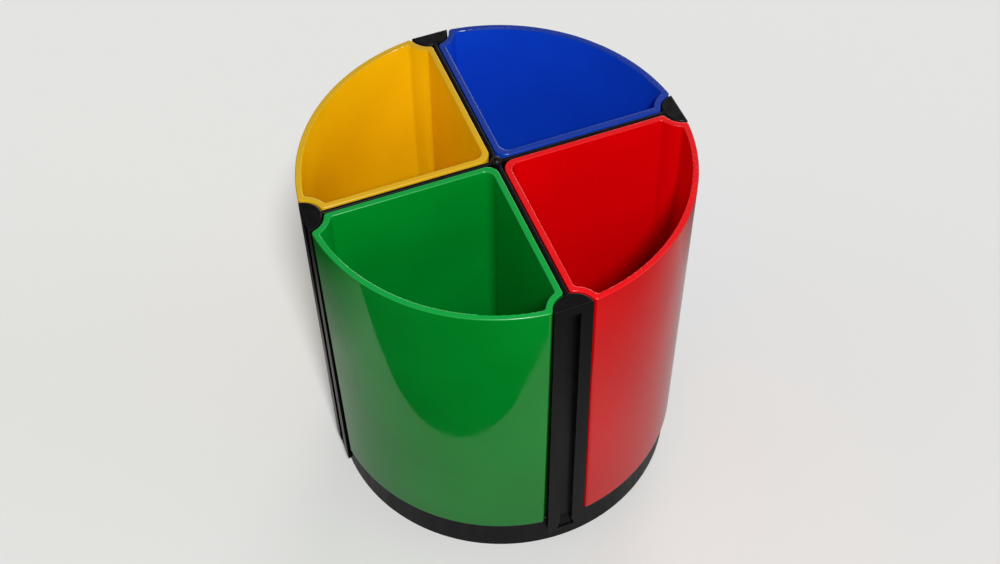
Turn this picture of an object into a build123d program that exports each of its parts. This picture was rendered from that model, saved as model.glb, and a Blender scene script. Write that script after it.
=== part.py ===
from build123d import *
from math import cos, radians, sin, tan
import os

# A desk pen holder: a round base, a cross of four vanes with a post at each end, and four
# quarter-round cups that lift out of the bays between the posts.
# Each cup fits its bay with its round wall outwards, which makes a round holder, or turned
# half about with its square corner outwards, which makes a square one.
# Millimetres, +Z up, origin on the axis at the underside of the base.

os.makedirs("parts", exist_ok=True)

# Overall
rim_height = 104.5          # top of the cups and of the posts
post_ring = 50.0            # axis to the centre of each post's round side

# Base, a shallow dish turned over
base_height = 10.5
base_plate = 2.0            # thickness of the plate that the cups stand on
base_skirt = 2.0            # thickness of its side
base_side_draft = 1.5       # degrees, the side closes in towards the plate
base_rib = 1.4              # thickness of the two ribs that cross under the plate
base_rib_recess = 1.0       # the ribs end this far above the table
base_edge_round = 0.8

# Posts and vanes, one moulding
post_radius = 4.9
post_setback = 0.5          # the flat outer face lies this far inside the post's centre
post_face_lean = 0.4        # degrees, the flat face leans in towards the foot
post_foot = 5.3             # the foot laps over the base down to this height
post_edge_round = 0.35
leg_thickness = 1.2         # of the foot where it laps over the base
groove_width = 3.5
groove_depth = 2.2          # below the flat face at its top
groove_top_land = 3.0       # the groove stops this far below the post's top
vane_thickness = 1.0        # at the top edge
vane_drop = 0.15            # the vanes end this far below the cups' rims
vane_edge_round = 0.3
vane_root = 1.0             # the vanes run this far into the posts
hub_radius = 1.6            # at the top
hub_rise = 1.0              # the hub's dome stands this far above the rims
cross_draft = 0.3           # degrees, of the vanes, the hub and the posts' round sides

# Snap at each post's foot: a wedge on the base clicks in over a bar between the foot's legs
catch_width = 3.0
catch_reach = 1.0           # how far the wedge stands out of the base's side
catch_bottom = 7.0          # height of its flat underside
catch_height = 2.6
catch_nose = 0.5            # height of its blunt tip
snap_gap = 0.6              # dark slit between the bar and the wedge
bar_height = 1.1
bar_thickness = 1.1
mouth_width = 5.0           # the groove opens to this width beside the wedge
mouth_depth = 0.8
mouth_rise = 3.0            # height of the flared stretch

# Cups
cup_proud = 0.1             # the round walls stand this far past the posts' flat faces
cup_wall = 1.6
cup_floor = 2.0
cup_draft = 0.65            # degrees
cup_corner_radius = 3.2     # where the two straight walls meet
cup_notch_round = 1.0       # the corners beside the posts
cup_foot_round = 0.8
cup_floor_bevel = 0.8       # inside, where the walls meet the floor
cup_lip_round = 0.35

# Clearances
vane_clearance = 0.3        # cup to vane at the rim
post_clearance = 0.35       # cup's notch to post at the rim
seat_clearance = 0.3        # cup's floor to base plate, all round
lap_clearance = 0.1         # post's foot to the side of the base

# Worked out from the posts inwards
post_face = post_ring - post_setback
foot_face = post_face - (rim_height - post_foot) * tan(radians(post_face_lean))
lap_radius = foot_face - leg_thickness
base_radius = lap_radius - lap_clearance
rib_span = 2 * (base_radius - base_skirt)
bar_top = catch_bottom - snap_gap
catch_root = base_radius - base_skirt / 2
catch_tip = base_radius - catch_bottom * tan(radians(base_side_draft)) + catch_reach
cup_arc_radius = post_face + cup_proud
notch_radius = post_radius + post_clearance
wall_offset = vane_thickness / 2 + vane_clearance
vane_height = rim_height - vane_drop - base_height
vane_foot = vane_thickness + 2 * vane_height * tan(radians(cross_draft))
vane_span = 2 * (post_ring - post_radius + vane_root)
hub_dome_centre = rim_height + hub_rise - hub_radius
hub_foot_radius = hub_radius + (hub_dome_centre - base_height) * tan(radians(cross_draft))
cup_bottom = base_height + seat_clearance


# Base: plate, skirt, two crossing ribs and four snap wedges

with BuildPart() as catch_wedge:
    with BuildSketch(Plane.XZ.offset(-catch_width / 2)):
        with BuildLine():
            Polyline(
                (catch_root, catch_bottom),
                (catch_tip, catch_bottom),
                (catch_tip, catch_bottom + catch_nose),
                (catch_root, catch_bottom + catch_height),
                close=True,
            )
        make_face()
    extrude(amount=catch_width)

with BuildPart() as base_disc:
    with BuildSketch():
        Circle(base_radius)
    extrude(amount=base_height, taper=base_side_draft)
    with BuildSketch():
        Circle(base_radius - base_skirt)
    extrude(amount=base_height - base_plate, taper=base_side_draft, mode=Mode.SUBTRACT)
    fillet(base_disc.edges().group_by(Axis.Z)[-1], radius=base_edge_round)
    with BuildSketch(Plane.XY.offset(base_rib_recess)):
        Rectangle(rib_span, base_rib)
        Rectangle(base_rib, rib_span)
    extrude(amount=base_height - base_plate - base_rib_recess)
    with PolarLocations(0, 4):
        add(catch_wedge.part)


# Cross: four vanes, a hub, and four posts whose feet lap over the base

with BuildPart() as one_post:
    # A drafted round bar, cut flat by a plane that leans in towards the foot
    with BuildSketch(Plane.XY.offset(rim_height)):
        with Locations((post_ring, 0)):
            Circle(post_radius)
    extrude(amount=post_foot - rim_height, taper=-cross_draft)
    lean = radians(post_face_lean)
    split(bisect_by=Plane((post_face, 0, rim_height), z_dir=(-cos(lean), 0, sin(lean))))
    fillet(one_post.faces().sort_by(Axis.Z)[-1].edges(), radius=post_edge_round)
    # The groove is open at the foot, so that it draws downwards out of the mould
    with BuildSketch(Plane.XY.offset(post_foot)):
        with Locations((post_face - groove_depth, 0)):
            Rectangle(2 * groove_depth, groove_width, align=(Align.MIN, Align.CENTER))
    extrude(amount=rim_height - groove_top_land - post_foot, mode=Mode.SUBTRACT)
    # Beside the wedge the groove's edges flare out towards the foot
    with BuildSketch(Plane.YZ.offset(foot_face - mouth_depth)):
        with BuildLine():
            Polyline(
                (-mouth_width / 2, bar_top),
                (mouth_width / 2, bar_top),
                (groove_width / 2, bar_top + mouth_rise),
                (-groove_width / 2, bar_top + mouth_rise),
                close=True,
            )
        make_face()
    extrude(amount=2 * mouth_depth, mode=Mode.SUBTRACT)
    # The bar that the wedge catches over
    with BuildSketch(Plane.XY.offset(bar_top - bar_height)):
        with Locations((lap_radius, 0)):
            Rectangle(bar_thickness, groove_width, align=(Align.MIN, Align.CENTER))
    extrude(amount=bar_height)

with BuildPart() as divider_cross:
    with BuildSketch(Plane.XY.offset(base_height)):
        Rectangle(vane_span, vane_foot)
        Rectangle(vane_foot, vane_span)
    extrude(amount=vane_height, taper=cross_draft)
    fillet(divider_cross.edges().group_by(Axis.Z)[-1], radius=vane_edge_round)
    with BuildSketch(Plane.XY.offset(base_height)):
        Circle(hub_foot_radius)
    extrude(amount=hub_dome_centre - base_height, taper=cross_draft)
    with Locations((0, 0, hub_dome_centre)):
        Sphere(hub_radius)
    with PolarLocations(0, 4):
        add(one_post.part)
    with BuildSketch():
        Circle(lap_radius)
    extrude(amount=base_height, mode=Mode.SUBTRACT)


# Cups: one shape, moulded in four colours, one for each bay

def drafted_block(bottom, inset):
    """The cup's form in the +X +Y bay, solid from one level to the rim and drawn in by an inset."""
    depth = rim_height - bottom
    wall = wall_offset + inset
    draft = radians(cup_draft)
    with BuildPart() as block:
        with BuildSketch(Plane.XY.offset(rim_height)):
            Circle(cup_arc_radius - inset)
        extrude(amount=-depth, taper=cup_draft)
        split(bisect_by=Plane((wall, 0, rim_height), z_dir=(cos(draft), 0, sin(draft))))
        split(bisect_by=Plane((0, wall, rim_height), z_dir=(0, cos(draft), sin(draft))))
        with BuildSketch(Plane.XY.offset(rim_height)):
            with Locations((post_ring, 0), (0, post_ring)):
                Circle(notch_radius + inset)
        extrude(amount=-depth, taper=-cup_draft, mode=Mode.SUBTRACT)
        uprights = block.edges().filter_by(lambda edge: edge.bounding_box().size.Z > depth / 2)
        fillet(uprights.sort_by_distance((0, 0, bottom))[1:], radius=cup_notch_round)
        corner = block.edges().sort_by_distance((0, 0, bottom + depth / 2))[0]
        fillet(corner, radius=cup_corner_radius - inset / 2)
    return block.part


with BuildPart() as cup:
    add(drafted_block(cup_bottom, 0))
    add(drafted_block(cup_bottom + cup_floor, cup_wall), mode=Mode.SUBTRACT)
    underside = cup.faces().sort_by(Axis.Z)[0]
    fillet(underside.edges(), radius=cup_foot_round)
    rim = cup.faces().sort_by(Axis.Z)[-1]
    fillet(rim.edges(), radius=min(cup_lip_round, 0.4 * cup_wall))
    inner_floor = cup.faces().filter_by(Plane.XY).sort_by(Axis.Z)[1]
    chamfer(inner_floor.edges(), length=cup_floor_bevel)


base_disc.part.label = "base_disc"
export_step(base_disc.part, "parts/base_disc.step")
divider_cross.part.label = "divider_cross"
export_step(divider_cross.part, "parts/divider_cross.step")

# Anticlockwise from the back right, seen from above
for quarter, colour in enumerate(("blue", "yellow", "green", "red")):
    placed_cup = cup.part.rotate(Axis.Z, 90 * quarter)
    placed_cup.label = f"{colour}_cup"
    export_step(placed_cup, f"parts/{colour}_cup.step")
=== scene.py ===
# %% [markdown]
# # A pen holder of moulded plastic
#
# The real object is six injection mouldings: a black base, a black cross with a post at the end of
# each vane, and four glossy cups in green, red, blue and yellow. The solids come ready made from the
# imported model, so this notebook gives them what a mould and a desk give them: gloss, a slightly wavy
# skin, fine rubbing marks, and the small round marks that the mould's pins leave underneath.

# %% Load the solids
from math import cos, pi, radians, sin

import bpy
from mathutils import Matrix, Vector


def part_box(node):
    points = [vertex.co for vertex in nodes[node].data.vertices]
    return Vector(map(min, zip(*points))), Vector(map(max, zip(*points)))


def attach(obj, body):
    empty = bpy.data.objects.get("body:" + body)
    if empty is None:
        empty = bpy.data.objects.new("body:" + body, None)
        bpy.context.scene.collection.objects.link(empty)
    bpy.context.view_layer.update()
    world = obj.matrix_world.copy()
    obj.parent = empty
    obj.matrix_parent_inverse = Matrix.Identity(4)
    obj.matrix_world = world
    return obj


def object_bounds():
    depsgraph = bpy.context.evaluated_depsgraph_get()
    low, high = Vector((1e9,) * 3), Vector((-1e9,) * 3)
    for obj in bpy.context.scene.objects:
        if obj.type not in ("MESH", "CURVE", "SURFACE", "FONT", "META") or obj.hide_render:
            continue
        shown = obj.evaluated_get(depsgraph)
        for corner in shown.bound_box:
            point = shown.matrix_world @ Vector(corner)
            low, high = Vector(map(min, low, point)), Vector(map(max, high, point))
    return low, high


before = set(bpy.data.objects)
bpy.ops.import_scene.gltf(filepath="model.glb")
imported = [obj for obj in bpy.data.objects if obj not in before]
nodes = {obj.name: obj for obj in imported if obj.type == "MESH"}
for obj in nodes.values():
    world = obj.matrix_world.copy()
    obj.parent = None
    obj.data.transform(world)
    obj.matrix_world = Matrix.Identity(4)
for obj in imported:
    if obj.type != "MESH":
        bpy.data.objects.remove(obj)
cad_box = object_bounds()
MM = 0.001
print("nodes:", ", ".join(sorted(nodes)))

# %% [markdown]
# ## Heights that the finishes follow
#
# Some marks depend on where they are: hands rub the rims, the rims carry painted shade, and a line of
# painted shadow sits on the cups' feet above the black base.
# Reading the levels from the solids keeps the finishes in place if the model changes size, which
# numbers typed by hand would not.

# %% Read the levels
rim_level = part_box("green_cup")[1].z
cup_foot_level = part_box("green_cup")[0].z
base_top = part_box("base_disc")[1].z
print("rims at", round(rim_level / MM, 1), "mm, cups' feet at", round(cup_foot_level / MM, 1), "mm")

# %% [markdown]
# ## Colours and nodes
#
# A hex value is how a colour is read off a screen, and Blender's shaders want it linear, so one small
# function turns one into the other. A second one adds a shader node with its settings and links in a
# single call. It keeps each material short enough to read as a recipe.

# %% Colour and node helpers
def linear(hex_colour):
    """An sRGB hex value such as "#00821E" as the linear RGBA that shaders take."""
    channels = [int(hex_colour[i:i + 2], 16) / 255 for i in (1, 3, 5)]
    return [c / 12.92 if c <= 0.04045 else ((c + 0.055) / 1.055) ** 2.4 for c in channels] + [1.0]


def add_node(tree, kind, inputs=None, **settings):
    """Adds a node, applies its settings, and fills each input with a value or with another socket."""
    node = tree.nodes.new(kind)
    for name, value in settings.items():
        setattr(node, name, value)
    for name, value in (inputs or {}).items():
        if isinstance(value, bpy.types.NodeSocket):
            tree.links.new(value, node.inputs[name])
        else:
            node.inputs[name].default_value = value
    return node


def new_material(name):
    """An empty node material and its tree."""
    material = bpy.data.materials.new(name)
    material.use_nodes = True
    material.node_tree.nodes.clear()
    return material, material.node_tree


# %% [markdown]
# ## What a moulded skin looks like
#
# Polystyrene leaves a polished mould almost as glossy as glass, but never quite flat: the skin sinks
# and flows a little as it cools, so reflections in it wander. Handling adds hairlines, and their
# direction tells a story. Here the cups slide up and down in their bays, so the hairlines run upright.
# All of this is noise at a real size. Noise takes a scale in features per metre, so a feature size in
# millimetres is easier to think in.

# %% Noise at a real size
def noise(tree, where, size_mm, detail=2.0):
    """Noise whose features are about size_mm across, as a value from 0 to 1."""
    node = add_node(tree, "ShaderNodeTexNoise", {
        "Vector": where, "Scale": 1000 / size_mm, "Detail": detail, "Roughness": 0.5,
    })
    return node.outputs["Fac"]


def stretched(tree, where, upright):
    """Coordinates squeezed along Z, so that a pattern on them is drawn out upright."""
    return add_node(tree, "ShaderNodeMapping", {
        "Vector": where, "Scale": (1.0, 1.0, 1.0 / upright),
    }).outputs["Vector"]


def remap(tree, value, low, high, to_low, to_high):
    """A value's range low to high spread over another range, and held at its ends."""
    return add_node(tree, "ShaderNodeMapRange", {
        "Value": value, "From Min": low, "From Max": high, "To Min": to_low, "To Max": to_high,
    }).outputs["Result"]


def bumped(tree, height, distance_mm, under=None):
    """A bump of the given depth, on top of another bump if there is one."""
    inputs = {"Height": height, "Distance": distance_mm * MM, "Strength": 1.0}
    if under is not None:
        inputs["Normal"] = under
    return add_node(tree, "ShaderNodeBump", inputs).outputs["Normal"]


# %% [markdown]
# ## Glossy polystyrene for the cups
#
# General-purpose polystyrene has an IOR of 1.59, and the value here is a little lower, matched to how
# weakly the walls mirror the table in the photo. Pigment clouds the colour slightly. The rims carry
# painted shade, also matched: a little darker or paler than the walls, for how the light falls on their
# flat tops. Hands have rubbed the rims duller. The feet carry a thin black line of painted shadow, where
# the gap over the base lies in shade. A low roughness with a little noise gives the gloss. Sizes are in
# millimetres.

# %% Cup plastic
CUP_IOR = 1.46
CLOUD_SIZE = 30.0           # between patches of slightly deeper colour
CLOUD_RANGE = (0.35, 0.65)  # the part of the noise that is spread over the two shades
SINK_SIZE = 16.0            # between slow waves of the skin
SINK_DEPTH = 0.045
PEEL_SIZE = 1.4             # finer unevenness, drawn coarser than the real 0.5 so that it shows
PEEL_DEPTH = 0.0012
HAIRLINE_SIZE = 0.5         # width of rubbing marks, drawn coarser than the real ones
HAIRLINE_STRETCH = 60.0
HANDLING_SIZE = 22.0        # between the places that hands rub most
RUBBING_RANGE = (0.18, 0.42)
POLISHED = 0.03             # roughness as it left the mould
RUBBED = 0.11               # roughness where it is rubbed most
# The rims' colour is painted shade for how the light falls on their flat tops.
RIM_STARTS = 0.5            # below the top, where the rim's painted shade and dulling set in
RIM_FULL = 0.15             # below the top, where it is full
RIM_DULLING = 0.2           # roughness that hands add along the rims
# The line at the feet is painted shadow of the shaded gap over the base.
PAINTED_FOOT_SHADOW_FULL = 0.6        # above the foot, where the painted shadow line begins to fade
PAINTED_FOOT_SHADOW_TOP = 0.85        # above the foot, where it ends
PAINTED_FOOT_SHADOW_COLOUR = "#0A0A0A"
PAINTED_FOOT_SHADOW_SHARE = 0.85      # of that colour in the painted shadow line


def glossy_polystyrene(name, colour, deep_colour, painted_rim_shade):
    """Polished coloured polystyrene with slow waves, upright hairlines, painted shade on the rim and a
    painted shadow line at the foot.
    """
    material, tree = new_material(name)
    where = add_node(tree, "ShaderNodeTexCoord").outputs["Object"]
    height = add_node(tree, "ShaderNodeSeparateXYZ", {"Vector": where}).outputs["Z"]

    # Pigment is never mixed perfectly: a few percent between two close colours
    cloud = remap(tree, noise(tree, where, CLOUD_SIZE), *CLOUD_RANGE, 0.0, 1.0)
    body = add_node(tree, "ShaderNodeMix", {
        "Factor": cloud, "A": linear(deep_colour), "B": linear(colour),
    }, data_type="RGBA")
    # Painted shade on the rim: its colour is set darker or paler than the walls for how the light falls
    # on the flat tops
    rim = remap(tree, height, rim_level - RIM_STARTS * MM, rim_level - RIM_FULL * MM, 0.0, 1.0)
    with_painted_rim_shade = add_node(tree, "ShaderNodeMix", {
        "Factor": rim, "A": body.outputs[2], "B": linear(painted_rim_shade),
    }, data_type="RGBA")
    # Painted shadow: a black line on the rounded edge of the foot, where the gap over the base is in
    # shade
    foot = remap(tree, height, cup_foot_level + PAINTED_FOOT_SHADOW_FULL * MM,
                 cup_foot_level + PAINTED_FOOT_SHADOW_TOP * MM, PAINTED_FOOT_SHADOW_SHARE, 0.0)
    skin = add_node(tree, "ShaderNodeMix", {
        "Factor": foot, "A": with_painted_rim_shade.outputs[2], "B": linear(PAINTED_FOOT_SHADOW_COLOUR),
    }, data_type="RGBA")

    # Hairlines show most where hands go, and the rim is dull all along
    hairlines = noise(tree, stretched(tree, where, HAIRLINE_STRETCH), HAIRLINE_SIZE, detail=1.0)
    handling = noise(tree, where, HANDLING_SIZE, detail=4.0)
    rubbed = add_node(tree, "ShaderNodeMath", {0: hairlines, 1: handling}, operation="MULTIPLY")
    polish = remap(tree, rubbed.outputs[0], *RUBBING_RANGE, POLISHED, RUBBED)
    roughness = add_node(tree, "ShaderNodeMath", {0: rim, 1: RIM_DULLING, 2: polish},
                         operation="MULTIPLY_ADD").outputs[0]

    waves = bumped(tree, noise(tree, where, SINK_SIZE, detail=0.0), SINK_DEPTH)
    peel = noise(tree, where, PEEL_SIZE, detail=1.0)
    plastic = add_node(tree, "ShaderNodeBsdfPrincipled", {
        "Base Color": skin.outputs[2], "Roughness": roughness,
        "Normal": bumped(tree, peel, PEEL_DEPTH, under=waves), "IOR": CUP_IOR,
    })
    add_node(tree, "ShaderNodeOutputMaterial", {"Surface": plastic.outputs["BSDF"]})
    return material


# Full shade and deep shade of each colour, and the painted shade of its rim
cup_colours = {
    "green": ("#008F2B", "#008525", "#049038"),
    "red": ("#E00006", "#D60005", "#D4060E"),
    "blue": ("#0E46D0", "#0C3EC4", "#0E3290"),
    "yellow": ("#F8C208", "#F0B804", "#CCA014"),
}
for colour, shades in cup_colours.items():
    cup = nodes[f"{colour}_cup"]
    cup.data.materials.clear()
    cup.data.materials.append(glossy_polystyrene(f"{colour}_polystyrene", *shades))
print("cup plastics:", ", ".join(cup_colours))

# %% [markdown]
# ## Black polystyrene for the frame
#
# The cross and the base come from a mould that was left a little less polished, so their reflections
# are softer. Black shows dust more than colour does: a pale film gathers on what faces up, and the
# base carries more of it than the cross. Where a surface faces is read from its normal, which stays
# with the object, and not from the camera. Sizes are in millimetres.

# %% Frame plastic
FRAME_IOR = 1.24            # a satin skin mirrors weakly, so this is matched, as on the cups
FRAME_SINK_DEPTH = 0.03
FRAME_PEEL_DEPTH = 0.002
DUST_COLOUR = "#3C3836"
SPECK_SIZE = 1.2            # between specks of dust
SPECK_RANGE = (0.48, 0.72)  # only the peaks of the noise hold a speck
DUST_HOLDS_FROM = 0.5       # Z of the normal where dust begins to stay; 1 is level
FLOW_SIZE = 2.5             # between streaks where the plastic flowed into the mould
FLOW_STRETCH = 12.0
FLOW_RANGE = (0.3, 0.7)


def satin_polystyrene(name, colour, dust, roughness_low, roughness_high):
    """Black polystyrene from a satin mould, with some dust on what faces up."""
    material, tree = new_material(name)
    where = add_node(tree, "ShaderNodeTexCoord").outputs["Object"]
    facing = add_node(tree, "ShaderNodeNewGeometry").outputs["Normal"]
    facing_up = add_node(tree, "ShaderNodeSeparateXYZ", {"Vector": facing}).outputs["Z"]

    specks = remap(tree, noise(tree, where, SPECK_SIZE, detail=6.0), *SPECK_RANGE, 0.0, 1.0)
    film = remap(tree, facing_up, DUST_HOLDS_FROM, 1.0, 0.0, dust)
    amount = add_node(tree, "ShaderNodeMath", {0: specks, 1: film}, operation="MULTIPLY")
    skin = add_node(tree, "ShaderNodeMix", {
        "Factor": amount.outputs[0], "A": linear(colour), "B": linear(DUST_COLOUR),
    }, data_type="RGBA")

    flow = noise(tree, stretched(tree, where, FLOW_STRETCH), FLOW_SIZE, detail=3.0)
    waves = bumped(tree, noise(tree, where, SINK_SIZE, detail=0.0), FRAME_SINK_DEPTH)
    peel = noise(tree, where, PEEL_SIZE, detail=2.0)
    plastic = add_node(tree, "ShaderNodeBsdfPrincipled", {
        "Base Color": skin.outputs[2],
        "Roughness": remap(tree, flow, *FLOW_RANGE, roughness_low, roughness_high),
        "Normal": bumped(tree, peel, FRAME_PEEL_DEPTH, under=waves), "IOR": FRAME_IOR,
    })
    add_node(tree, "ShaderNodeOutputMaterial", {"Surface": plastic.outputs["BSDF"]})
    return material


cross_plastic = satin_polystyrene("black_satin_polystyrene", "#0B0A0C", dust=0.06,
                                  roughness_low=0.24, roughness_high=0.38)
base_plastic = satin_polystyrene("black_base_polystyrene", "#0D0C0E", dust=0.15,
                                 roughness_low=0.28, roughness_high=0.44)
for node_name, plastic in (("divider_cross", cross_plastic), ("base_disc", base_plastic)):
    nodes[node_name].data.materials.clear()
    nodes[node_name].data.materials.append(plastic)
print("frame plastics:", cross_plastic.name, base_plastic.name)

# %% [markdown]
# ## Marks of the mould's ejector pins
#
# A moulding is pushed out of its mould by round pins, and each leaves a faint raised ring. They sit
# where nobody looks: under the base's plate, inside its hollow, and under each cup's floor. One ring is
# a short profile turned about an axis, and a rule puts the rest in place, so a Geometry Nodes tree
# makes them all: a curve circle with a thin round section, on every point of a circle of pins.

# %% Tree of the ejector rings
RING_STEPS = 24
BEAD_STEPS = 6


def ejector_tree():
    """A tree that sets rings on a circle of points, with named sizes."""
    tree = bpy.data.node_groups.new("ejector_rings", "GeometryNodeTree")
    face = tree.interface
    face.new_socket("Geometry", in_out="INPUT", socket_type="NodeSocketGeometry")
    for name in ("Circle Radius", "Ring Radius", "Bead"):
        face.new_socket(name, in_out="INPUT", socket_type="NodeSocketFloat")
    face.new_socket("Pins", in_out="INPUT", socket_type="NodeSocketInt")
    face.new_socket("Centre", in_out="INPUT", socket_type="NodeSocketVector")
    face.new_socket("Plastic", in_out="INPUT", socket_type="NodeSocketMaterial")
    face.new_socket("Geometry", in_out="OUTPUT", socket_type="NodeSocketGeometry")

    given = add_node(tree, "NodeGroupInput").outputs
    ring = add_node(tree, "GeometryNodeCurvePrimitiveCircle", {
        "Resolution": RING_STEPS, "Radius": given["Ring Radius"],
    })
    bead = add_node(tree, "GeometryNodeCurvePrimitiveCircle", {
        "Resolution": BEAD_STEPS, "Radius": given["Bead"],
    })
    solid_ring = add_node(tree, "GeometryNodeCurveToMesh", {
        "Curve": ring.outputs["Curve"], "Profile Curve": bead.outputs["Curve"],
    })
    pins = add_node(tree, "GeometryNodeMeshCircle", {
        "Vertices": given["Pins"], "Radius": given["Circle Radius"],
    })
    # An eighth of a turn sets the base's pins between its two crossing ribs
    placed = add_node(tree, "GeometryNodeTransform", {
        "Geometry": pins.outputs["Mesh"], "Translation": given["Centre"],
        "Rotation": (0.0, 0.0, pi / 4),
    })
    rings = add_node(tree, "GeometryNodeInstanceOnPoints", {
        "Points": placed.outputs["Geometry"], "Instance": solid_ring.outputs["Mesh"],
    })
    real = add_node(tree, "GeometryNodeRealizeInstances", {"Geometry": rings.outputs["Instances"]})
    finished = add_node(tree, "GeometryNodeSetMaterial", {
        "Geometry": real.outputs["Geometry"], "Material": given["Plastic"],
    })
    add_node(tree, "NodeGroupOutput", {"Geometry": finished.outputs["Geometry"]})
    return tree


ring_tree = ejector_tree()
sockets = {item.name: item.identifier for item in ring_tree.interface.items_tree
           if item.in_out == "INPUT"}
print("inputs of the ring tree:", ", ".join(sockets))

# %% [markdown]
# ## Rings on each moulding
#
# The tree could stay on an object as a live modifier, but the exported model holds plain meshes. So
# each set of rings is made once on an empty carrier and copied into a mesh of its own, which then
# rides on its moulding. The rings are set on the plastic with their middle at its surface, so that
# half of each bead is sunk in. Sizes are in millimetres.

# %% Ejector rings
BEAD_THICKNESS = 0.12
PINS = 4
BASE_PLATE = 2.0            # thickness of the plate over the base's hollow
BASE_PIN_CIRCLE = 30.0      # the pins' distance from the middle
BASE_RING_RADIUS = 3.0
CUP_PIN_CIRCLE = 10.0
CUP_RING_RADIUS = 2.0


def ejector_rings(name, body, plastic, centre, circle_radius, ring_radius):
    """Rings of one moulding as one plain mesh that rides on its body."""
    carrier = bpy.data.objects.new(name + "_carrier", bpy.data.meshes.new(name + "_carrier"))
    bpy.context.scene.collection.objects.link(carrier)
    modifier = carrier.modifiers.new("rings", "NODES")
    modifier.node_group = ring_tree
    modifier[sockets["Circle Radius"]] = circle_radius * MM
    modifier[sockets["Ring Radius"]] = ring_radius * MM
    modifier[sockets["Bead"]] = BEAD_THICKNESS / 2 * MM
    modifier[sockets["Pins"]] = PINS
    modifier[sockets["Centre"]] = centre
    modifier[sockets["Plastic"]] = plastic
    evaluated = carrier.evaluated_get(bpy.context.evaluated_depsgraph_get())
    mesh = bpy.data.meshes.new_from_object(evaluated)
    bpy.data.objects.remove(carrier)
    mesh.name = name
    mesh.shade_smooth()
    piece = bpy.data.objects.new(name, mesh)
    bpy.context.scene.collection.objects.link(piece)
    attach(piece, body)
    return piece


plate_underside = base_top - BASE_PLATE * MM
base_rings = ejector_rings("base_ejector_rings", "stand", base_plastic,
                           (0.0, 0.0, plate_underside), BASE_PIN_CIRCLE, BASE_RING_RADIUS)
print("base rings:", len(base_rings.data.polygons), "faces")

for colour in cup_colours:
    low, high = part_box(f"{colour}_cup")
    middle = (low + high) / 2
    rings = ejector_rings(f"{colour}_ejector_rings", f"{colour}_cup",
                          nodes[f"{colour}_cup"].data.materials[0],
                          (middle.x, middle.y, cup_foot_level), CUP_PIN_CIRCLE, CUP_RING_RADIUS)
print("cup rings:", len(rings.data.polygons), "faces each")

# %% [markdown]
# ## The table
#
# The holder stands on a plain pale surface, one sheet so large that no edge shows from any side. What
# the camera and the reflections see of it is paler than what it throws back as soft light: a table in
# a bright room would lift the outer walls and leave the insides behind, and in the photo both are
# equally bright. Light Path tells the two kinds of ray apart.

# %% Floor
FLOOR_REACH = 12.0          # metres from the middle to each side
FLOOR_AS_LIGHT = "#909090"
FLOOR_AS_SEEN = "#D8D8D6"


def seen_by_eye(tree):
    """1 for rays from the camera, directly or by way of gloss or clear material, otherwise 0."""
    rays = add_node(tree, "ShaderNodeLightPath").outputs
    direct_or_gloss = add_node(tree, "ShaderNodeMath", {
        0: rays["Is Camera Ray"], 1: rays["Is Glossy Ray"],
    }, operation="MAXIMUM")
    return add_node(tree, "ShaderNodeMath", {
        0: direct_or_gloss.outputs[0], 1: rays["Is Transmission Ray"],
    }, operation="MAXIMUM").outputs[0]


def level_sheet(name, reach, height, material):
    """A square stage sheet around the holder's axis; reach is from the middle to each side."""
    corners = [(x * reach, y * reach, height) for x, y in ((-1, -1), (1, -1), (1, 1), (-1, 1))]
    mesh = bpy.data.meshes.new(name)
    mesh.from_pydata(corners, [], [(0, 1, 2, 3)])
    mesh.materials.append(material)
    sheet = bpy.data.objects.new(name, mesh)
    bpy.context.scene.collection.objects.link(sheet)
    return sheet


floor_paint, tree = new_material("pale_floor")
floor_colour = add_node(tree, "ShaderNodeMix", {
    "Factor": seen_by_eye(tree), "A": linear(FLOOR_AS_LIGHT), "B": linear(FLOOR_AS_SEEN),
}, data_type="RGBA")
paint = add_node(tree, "ShaderNodeBsdfPrincipled", {
    "Base Color": floor_colour.outputs[2], "Roughness": 0.8, "Specular IOR Level": 0.1,
})
add_node(tree, "ShaderNodeOutputMaterial", {"Surface": paint.outputs["BSDF"]})
floor = level_sheet("floor", FLOOR_REACH, 0.0, floor_paint)
print("floor:", 2 * FLOOR_REACH, "m wide")

# %% [markdown]
# ## A dark card that only reflections see
#
# In the photo the green wall mirrors the table, and the U-shaped line on it is the mirror image of the
# table's edge: followed back from the camera, all its points land on one straight line on the table,
# 82 mm from the holder's axis. Past the edge the room was dark, which keeps the upper wall's colour
# deep. Photographers lay black card around a glossy thing for the same effect. This one is hidden from
# the camera and from soft light, so the floor still looks plain and pale, and only gloss picks it up.
# Towards the green cup it has a sharp edge, and on the other three sides it darkens slowly. Near the
# holder it is a thin veil, because the real table was greyer than this floor.

# %% Dark card
CARD_REACH = 2.0            # metres from the middle to each side
CARD_HEIGHT = 0.2           # millimetres above the floor
CARD_COLOUR = "#1C1C1E"
VEIL = 0.44                 # darkness near the holder, where 1 is black

# Direction in degrees anticlockwise from +X, distances in millimetres from the axis at which the
# veil ends and the dark begins, and how dark it is from there on
CARD_SIDES = (
    (-135, 82, 82.5, 1.0),  # towards the green cup, the table's edge
    (-45, 70, 120, 0.85),   # towards the red cup
    (45, 70, 110, 1.0),     # towards the blue cup
    (135, 70, 110, 1.0),    # towards the yellow cup
)


def darkness_towards(tree, where, direction, veil_ends, dark_begins, darkest):
    """The card's darkness by the distance from the axis in one direction."""
    unit = (cos(radians(direction)), sin(radians(direction)), 0.0)
    distance = add_node(tree, "ShaderNodeVectorMath", {0: where, 1: unit}, operation="DOT_PRODUCT")
    return remap(tree, distance.outputs["Value"], veil_ends * MM, dark_begins * MM, VEIL, darkest)


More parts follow.
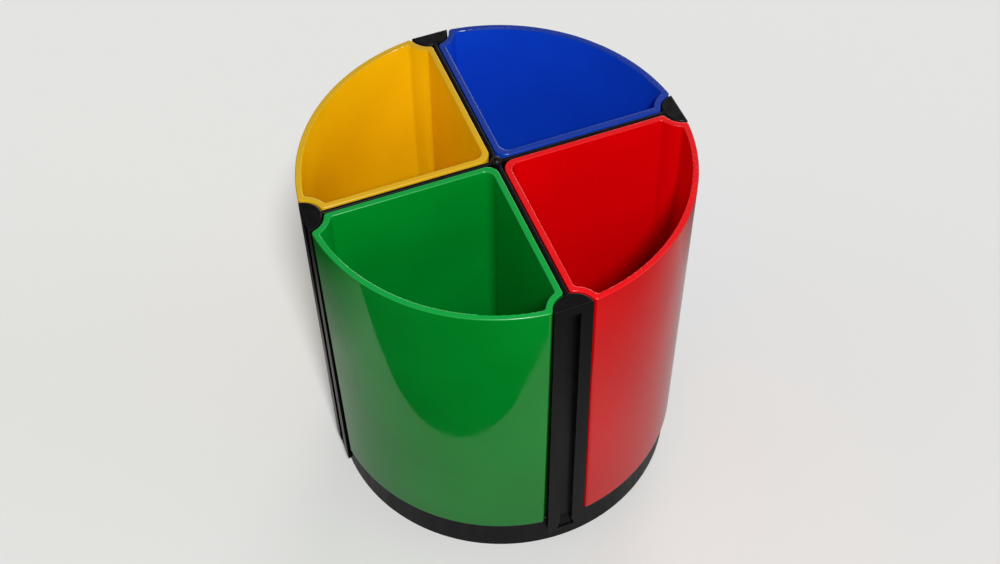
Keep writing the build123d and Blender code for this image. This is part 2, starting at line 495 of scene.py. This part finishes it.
card_paper, tree = new_material("black_card")
where = add_node(tree, "ShaderNodeTexCoord").outputs["Object"]
darkness = VEIL
for side in CARD_SIDES:
    darkness = add_node(tree, "ShaderNodeMath", {0: darkness, 1: darkness_towards(tree, where, *side)},
                        operation="MAXIMUM").outputs[0]
paper = add_node(tree, "ShaderNodeBsdfDiffuse", {"Color": linear(CARD_COLOUR)})
clear = add_node(tree, "ShaderNodeBsdfTransparent")
veiled = add_node(tree, "ShaderNodeMixShader", {
    "Fac": darkness, 1: clear.outputs[0], 2: paper.outputs[0],
})
add_node(tree, "ShaderNodeOutputMaterial", {"Surface": veiled.outputs[0]})
card = level_sheet("dark_card", CARD_REACH, CARD_HEIGHT * MM, card_paper)
for other_rays in ("camera", "diffuse", "transmission", "volume_scatter", "shadow"):
    setattr(card, "visible_" + other_rays, False)
print("dark card:", 2 * CARD_REACH, "m wide, seen only by gloss")

# %% [markdown]
# ## Lamps
#
# In the photo the light comes from close to the camera, a little to its right, as a flash does: all
# that the camera sees inside the cups is lit, and only the walls that face left are dark. A flash is as
# near as the camera, so its rays spread. They reach under the red cup's rim, and the walls grow darker
# towards the foot. A lamp far away, which Blender calls a sun, has neither effect, so the key is a
# small point lamp. Alone it would leave the far table dark. Light linking settles that: the flash
# leaves the table out, and a sun in the same direction lights only the table, evenly. Three weak suns
# keep the back and both sides readable.

# %% Lamps
FLASH_DISTANCE = 0.437      # metres from the holder's middle, as far away as the camera
FLASH_WIDTH = 0.04          # metres
FLASH_STRENGTH = 2.65       # at the holder's middle, in the same measure as a sun's
TABLE_KEY_STRENGTH = 3.0
KEY_AZIMUTH = -8            # degrees, where 0 is the front and 90 the right
KEY_ELEVATION = 54
KEY_SOFTNESS = 10           # degrees, how wide the lamp looks from the holder
FILL_SOFTNESS = 30
holder_middle = (cad_box[0] + cad_box[1]) / 2


def direction_to(azimuth, elevation):
    """From the holder towards a lamp or the camera. Azimuth 0 is the front, 90 the right."""
    a, e = radians(azimuth), radians(elevation)
    return Vector((sin(a) * cos(e), -cos(a) * cos(e), sin(e)))


def far_lamp(name, azimuth, elevation, strength, softness):
    """A soft lamp far away; softness is its width in degrees."""
    light = bpy.data.lights.new(name, "SUN")
    light.energy = strength
    light.angle = radians(softness)
    lamp = bpy.data.objects.new(name, light)
    lamp.location = direction_to(azimuth, elevation)
    lamp.rotation_mode = "QUATERNION"
    lamp.rotation_quaternion = lamp.location.to_track_quat("Z", "Y")
    bpy.context.scene.collection.objects.link(lamp)
    return lamp


def near_lamp(name, azimuth, elevation, distance, strength, width):
    """A round lamp near the holder, as strong at its middle as a far lamp of the same strength."""
    light = bpy.data.lights.new(name, "POINT")
    light.energy = strength * 4 * pi * distance ** 2
    light.shadow_soft_size = width / 2
    lamp = bpy.data.objects.new(name, light)
    lamp.location = holder_middle + direction_to(azimuth, elevation) * distance
    bpy.context.scene.collection.objects.link(lamp)
    return lamp


def link_light(lamp, things, link_state):
    """Lets a lamp light only some things, with INCLUDE, or all but them, with EXCLUDE."""
    linked = bpy.data.collections.new(lamp.name + "_linked")
    for thing in things:
        linked.objects.link(thing)
    for entry in linked.collection_objects:
        entry.light_linking.link_state = link_state
    lamp.light_linking.receiver_collection = linked


flash = near_lamp("flash", KEY_AZIMUTH, KEY_ELEVATION, FLASH_DISTANCE, FLASH_STRENGTH, FLASH_WIDTH)
link_light(flash, (floor, card), "EXCLUDE")
table_key = far_lamp("table_key", KEY_AZIMUTH, KEY_ELEVATION, TABLE_KEY_STRENGTH, KEY_SOFTNESS)
link_light(table_key, (floor, card), "INCLUDE")
far_lamp("left_fill", -100, 35, 0.12, FILL_SOFTNESS)
far_lamp("right_fill", 65, 22, 0.3, FILL_SOFTNESS)
far_lamp("back_fill", 145, 18, 0.8, FILL_SOFTNESS)

# %% [markdown]
# ## World
#
# The world is pale for the camera and in reflections, and weaker as a light, so that the colours stay
# deep. A plain even sky would do for matt things. These flat glossy rims would turn milky under it, so
# reflections of what hangs high overhead are darker, as under a dim ceiling.

# %% World
SKY_COLOUR = "#F6F6F5"
SKY_AS_LIGHT = 0.24
SKY_AS_SEEN = 0.86          # about as bright as the floor, so that low views show no horizon
CEILING_AS_SEEN = 0.15      # the rims mirror this part, and in the photo they keep their full colour
CEILING_STARTS = 0.25       # Z of the direction where the sky begins to darken; 1 is overhead
CEILING_FULL = 0.65

world = bpy.data.worlds.new("studio")
world.use_nodes = True
sky_tree = world.node_tree
sky_tree.nodes.clear()
sight = add_node(sky_tree, "ShaderNodeTexCoord").outputs["Generated"]
climb = add_node(sky_tree, "ShaderNodeSeparateXYZ", {"Vector": sight}).outputs["Z"]
seen_sky = remap(sky_tree, climb, CEILING_STARTS, CEILING_FULL, SKY_AS_SEEN, CEILING_AS_SEEN)
brightness = add_node(sky_tree, "ShaderNodeMix", {
    "Factor": seen_by_eye(sky_tree), "A": SKY_AS_LIGHT, "B": seen_sky,
}, data_type="FLOAT")
sky = add_node(sky_tree, "ShaderNodeBackground", {
    "Color": linear(SKY_COLOUR), "Strength": brightness.outputs[0],
})
add_node(sky_tree, "ShaderNodeOutputWorld", {"Surface": sky.outputs["Background"]})
bpy.context.scene.world = world
bpy.context.scene.view_settings.view_transform = "Standard"
print("sky:", SKY_AS_SEEN, "as seen,", SKY_AS_LIGHT, "as light")

# %% [markdown]
# ## Camera
#
# The camera stands where the photo was taken from. Its place was found by fitting a pinhole camera to
# points of the real holder, so the values are angles and lengths and not guesses at a framing.

# %% Camera
CAMERA_AZIMUTH = -20.25     # degrees, counted as for the lamps
CAMERA_ELEVATION = 50.95
CAMERA_ROLL = -1.16
CAMERA_DISTANCE = 437.5 * MM
AIM = Vector((0.0, 0.0, 49.1 * MM))
ASIDE, UPWARDS = 0.2 * MM, 5.0 * MM     # the aim point lies this far off the picture's middle
FOCAL_PIXELS = 1603.8
IMAGE_WIDTH = 1000

azimuth, roll = radians(CAMERA_AZIMUTH), radians(CAMERA_ROLL)
back = direction_to(CAMERA_AZIMUTH, CAMERA_ELEVATION)
right = Vector((cos(azimuth), sin(azimuth), 0.0))
up = back.cross(right)
rolled_right = right * cos(roll) + up * sin(roll)
rolled_up = up * cos(roll) - right * sin(roll)

lens = bpy.data.cameras.new("camera")
lens.sensor_width = 36.0
lens.lens = FOCAL_PIXELS * lens.sensor_width / IMAGE_WIDTH
lens.clip_start, lens.clip_end = 0.01, 20.0
camera = bpy.data.objects.new("camera", lens)
turn = Matrix((rolled_right, rolled_up, back)).transposed().to_4x4()
place = AIM + back * CAMERA_DISTANCE + right * ASIDE + up * UPWARDS
camera.matrix_world = Matrix.Translation(place) @ turn
bpy.context.scene.collection.objects.link(camera)
bpy.context.scene.camera = camera
print("camera at", [round(v, 3) for v in camera.location], "lens", round(lens.lens, 1))
